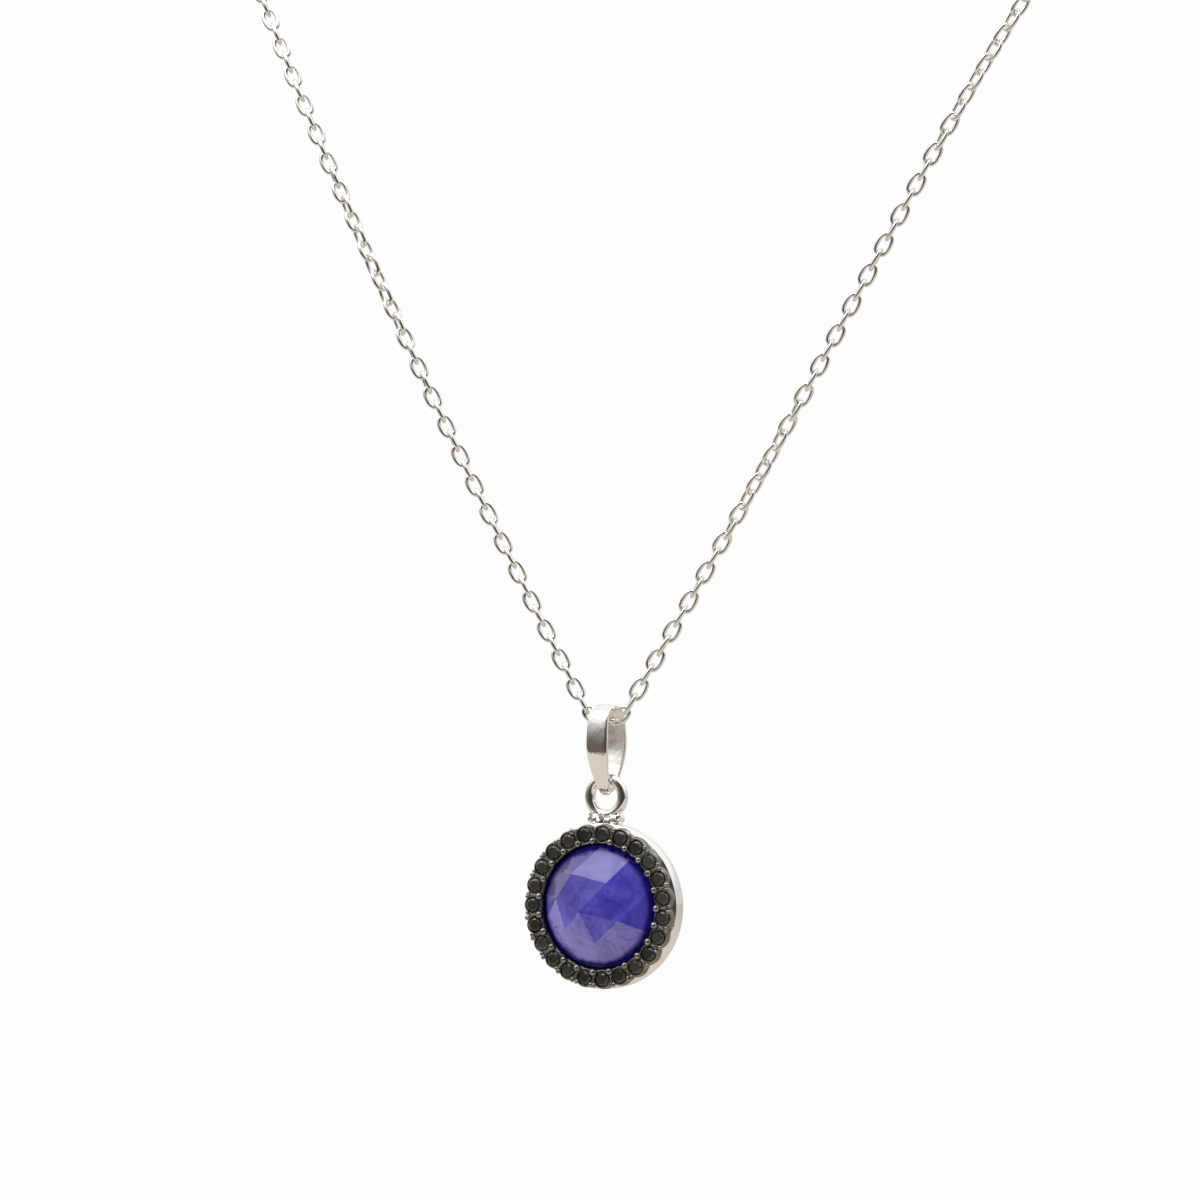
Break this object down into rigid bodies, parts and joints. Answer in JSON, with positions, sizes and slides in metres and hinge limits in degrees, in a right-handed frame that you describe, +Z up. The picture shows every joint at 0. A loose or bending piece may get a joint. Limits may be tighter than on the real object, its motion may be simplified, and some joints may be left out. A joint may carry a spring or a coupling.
{
  "type": "pendant necklace",
  "caption": "Pendant necklace: a domed blue-violet stone in a halo of small black stones, hung by a soldered loop and a folded bail from a fine cable chain with a spring-ring clasp.",
  "frame": {"origin": "centre of the pendant case's flat back", "axes": "+Y out of the back of the pendant towards the wearer, so the stones face -Y; +Z up through the loop and bail; +X to the right seen from the front"},
  "size_m": [0.1148, 0.1069, 0.1327],
  "materials": {
    "silver": "polished sterling silver",
    "black_rhodium": "black rhodium plate",
    "black_stone": "polished, opaque black",
    "blue_stone": "rose cut, clouded blue-violet",
    "spring_steel": "spring wire"
  },
  "bodies": {
    "pendant": {"case_wall": "silver", "back_plate": "silver", "centre_stone": "blue_stone", "halo_plate": "black_rhodium", "halo_stone_01": "black_stone", "halo_stone_02": "black_stone", "halo_stone_03": "black_stone", "halo_stone_04": "black_stone", "halo_stone_05": "black_stone", "halo_stone_06": "black_stone", "halo_stone_07": "black_stone", "halo_stone_08": "black_stone", "halo_stone_09": "black_stone", "halo_stone_10": "black_stone", "halo_stone_11": "black_stone", "halo_stone_12": "black_stone", "halo_stone_13": "black_stone", "halo_stone_14": "black_stone", "halo_stone_15": "black_stone", "halo_stone_16": "black_stone", "halo_stone_17": "black_stone", "halo_stone_18": "black_stone", "halo_stone_19": "black_stone", "halo_stone_20": "black_stone", "halo_stone_21": "black_stone", "halo_stone_22": "black_stone", "halo_stone_23": "black_stone", "pendant_loop": "silver", "loop_saddle": "silver"},
    "bail_body": {"bail": "silver"},
    "chain_middle": {"chain_centre_link": "silver"},
    "left_first_link": {"chain_left_first_link": "silver"},
    "left_span_1": {"chain_left_span_1": "silver"},
    "left_span_2": {"chain_left_span_2": "silver"},
    "left_span_3": {"chain_left_span_3": "silver"},
    "left_span_4": {"chain_left_span_4": "silver"},
    "left_span_5": {"chain_left_span_5": "silver"},
    "left_span_6": {"chain_left_span_6": "silver"},
    "left_span_7": {"chain_left_span_7": "silver"},
    "left_span_8": {"chain_left_span_8": "silver"},
    "jump_ring": {"clasp_jump_ring": "silver"},
    "clasp": {"clasp_body": "silver", "clasp_spring": "spring_steel"},
    "bolt": {"clasp_bolt": "silver"},
    "right_first_link": {"chain_right_first_link": "silver"},
    "right_span_1": {"chain_right_span_1": "silver"},
    "right_span_2": {"chain_right_span_2": "silver"},
    "right_span_3": {"chain_right_span_3": "silver"},
    "right_span_4": {"chain_right_span_4": "silver"},
    "right_span_5": {"chain_right_span_5": "silver"},
    "right_span_6": {"chain_right_span_6": "silver"},
    "right_span_7": {"chain_right_span_7": "silver"},
    "right_span_8": {"chain_right_span_8": "silver"},
    "end_ring_body": {"end_ring": "silver"}
  },
  "joints": [
    {"name": "bail_on_loop", "type": "hinge", "parent": "pendant", "child": "bail_body", "pos_m": [0, -0.0016, 0.00919], "axis": [1, 0, 0], "range_deg": [-60, 60], "stiffness_Nm_per_rad": 0.05},
    {"name": "chain_in_bail", "type": "hinge", "parent": "bail_body", "child": "chain_middle", "pos_m": [0, -0.0016, 0.01285], "axis": [1, 0, 0], "range_deg": [-45, 45], "stiffness_Nm_per_rad": 0.05},
    {"name": "left_link_in_middle", "type": "hinge", "parent": "chain_middle", "child": "left_first_link", "pos_m": [-0.00075, -0.0016, 0.01336], "axis": [0, -1, 0], "range_deg": [0, 40], "stiffness_Nm_per_rad": 0.05},
    {"name": "left_bend_1", "type": "hinge", "parent": "left_first_link", "child": "left_span_1", "pos_m": [-0.00161, -0.0016, 0.01406], "axis": [0.8486, -0.0262, 0.5284], "range_deg": [-35, 35], "stiffness_Nm_per_rad": 0.05},
    {"name": "left_bend_2", "type": "hinge", "parent": "left_span_1", "child": "left_span_2", "pos_m": [-0.01519, -0.00008, 0.03705], "axis": [-0.2462, -0.9663, -0.0752], "range_deg": [-32, 32], "stiffness_Nm_per_rad": 0.05},
    {"name": "left_bend_3", "type": "hinge", "parent": "left_span_2", "child": "left_span_3", "pos_m": [-0.02803, 0.0026, 0.06034], "axis": [0.7526, -0.4404, 0.4896], "range_deg": [-35, 35], "stiffness_Nm_per_rad": 0.05},
    {"name": "left_bend_4", "type": "hinge", "parent": "left_span_3", "child": "left_span_4", "pos_m": [-0.04106, 0.01055, 0.08217], "axis": [-0.6959, -0.7174, -0.033], "range_deg": [-35, 35], "stiffness_Nm_per_rad": 0.05},
    {"name": "left_bend_5", "type": "hinge", "parent": "left_span_4", "child": "left_span_5", "pos_m": [-0.05267, 0.02604, 0.10042], "axis": [0.2548, -0.5487, 0.7962], "range_deg": [-35, 35], "stiffness_Nm_per_rad": 0.05},
    {"name": "left_bend_6", "type": "hinge", "parent": "left_span_5", "child": "left_span_6", "pos_m": [-0.05689, 0.04863, 0.11346], "axis": [-0.9984, 0.0466, 0.0307], "range_deg": [-35, 35], "stiffness_Nm_per_rad": 0.05},
    {"name": "left_bend_7", "type": "hinge", "parent": "left_span_6", "child": "left_span_7", "pos_m": [-0.0503, 0.07332, 0.1206], "axis": [-0.0746, -0.1645, 0.9836], "range_deg": [-35, 35], "stiffness_Nm_per_rad": 0.05},
    {"name": "left_bend_8", "type": "hinge", "parent": "left_span_7", "child": "left_span_8", "pos_m": [-0.03321, 0.09329, 0.12354], "axis": [-0.5636, 0.8261, 0.0031], "range_deg": [-35, 35], "stiffness_Nm_per_rad": 0.05},
    {"name": "left_bend_end", "type": "hinge", "parent": "left_span_8", "child": "jump_ring", "pos_m": [-0.00789, 0.101, 0.124], "axis": [0, 0, 1], "range_deg": [-40, 40]},
    {"name": "clasp_on_jump_ring", "type": "hinge", "parent": "jump_ring", "child": "clasp", "pos_m": [-0.00623, 0.101, 0.124], "axis": [0, 1, 0], "range_deg": [-60, 60]},
    {"name": "bolt_slide", "type": "hinge", "parent": "clasp", "child": "bolt", "pos_m": [-0.0025, 0.101, 0.124], "axis": [0, -1, 0], "range_deg": [0, 45], "stiffness_Nm_per_rad": 0.00002, "deforming": ["clasp_spring"]},
    {"name": "right_link_in_middle", "type": "hinge", "parent": "chain_middle", "child": "right_first_link", "pos_m": [0.00075, -0.0016, 0.01336], "axis": [0, 1, 0], "range_deg": [0, 40], "stiffness_Nm_per_rad": 0.05},
    {"name": "right_bend_1", "type": "hinge", "parent": "right_first_link", "child": "right_span_1", "pos_m": [0.00161, -0.0016, 0.01406], "axis": [0.8486, 0.0262, -0.5284], "range_deg": [-35, 35], "stiffness_Nm_per_rad": 0.05},
    {"name": "right_bend_2", "type": "hinge", "parent": "right_span_1", "child": "right_span_2", "pos_m": [0.01538, -0.00006, 0.03738], "axis": [0.2491, -0.9655, -0.0761], "range_deg": [-35, 35], "stiffness_Nm_per_rad": 0.05},
    {"name": "right_bend_3", "type": "hinge", "parent": "right_span_2", "child": "right_span_3", "pos_m": [0.02839, 0.00273, 0.06101], "axis": [0.749, 0.4452, -0.4907], "range_deg": [-35, 35], "stiffness_Nm_per_rad": 0.05},
    {"name": "right_bend_4", "type": "hinge", "parent": "right_span_3", "child": "right_span_4", "pos_m": [0.04162, 0.01107, 0.08303], "axis": [0.7057, -0.7078, -0.0319], "range_deg": [-35, 35], "stiffness_Nm_per_rad": 0.05},
    {"name": "right_bend_5", "type": "hinge", "parent": "right_span_4", "child": "right_span_5", "pos_m": [0.05319, 0.02716, 0.10135], "axis": [0.2387, 0.5441, -0.8043], "range_deg": [-35, 35], "stiffness_Nm_per_rad": 0.05},
    {"name": "right_bend_6", "type": "hinge", "parent": "right_span_5", "child": "right_span_6", "pos_m": [0.05674, 0.05043, 0.11415], "axis": [0.996, 0.0831, 0.0314], "range_deg": [-35, 35], "stiffness_Nm_per_rad": 0.05},
    {"name": "right_bend_7", "type": "hinge", "parent": "right_span_6", "child": "right_span_7", "pos_m": [0.0486, 0.07509, 0.12106], "axis": [-0.0752, 0.1487, -0.986], "range_deg": [-35, 35], "stiffness_Nm_per_rad": 0.05},
    {"name": "right_bend_8", "type": "hinge", "parent": "right_span_7", "child": "right_span_8", "pos_m": [0.02972, 0.094, 0.12367], "axis": [0.5083, 0.8612, 0.0026], "range_deg": [-35, 35], "stiffness_Nm_per_rad": 0.05},
    {"name": "right_bend_end", "type": "hinge", "parent": "right_span_8", "child": "end_ring_body", "pos_m": [0.00371, 0.101, 0.124], "axis": [0, 0, 1], "range_deg": [-40, 40]}
  ]
}
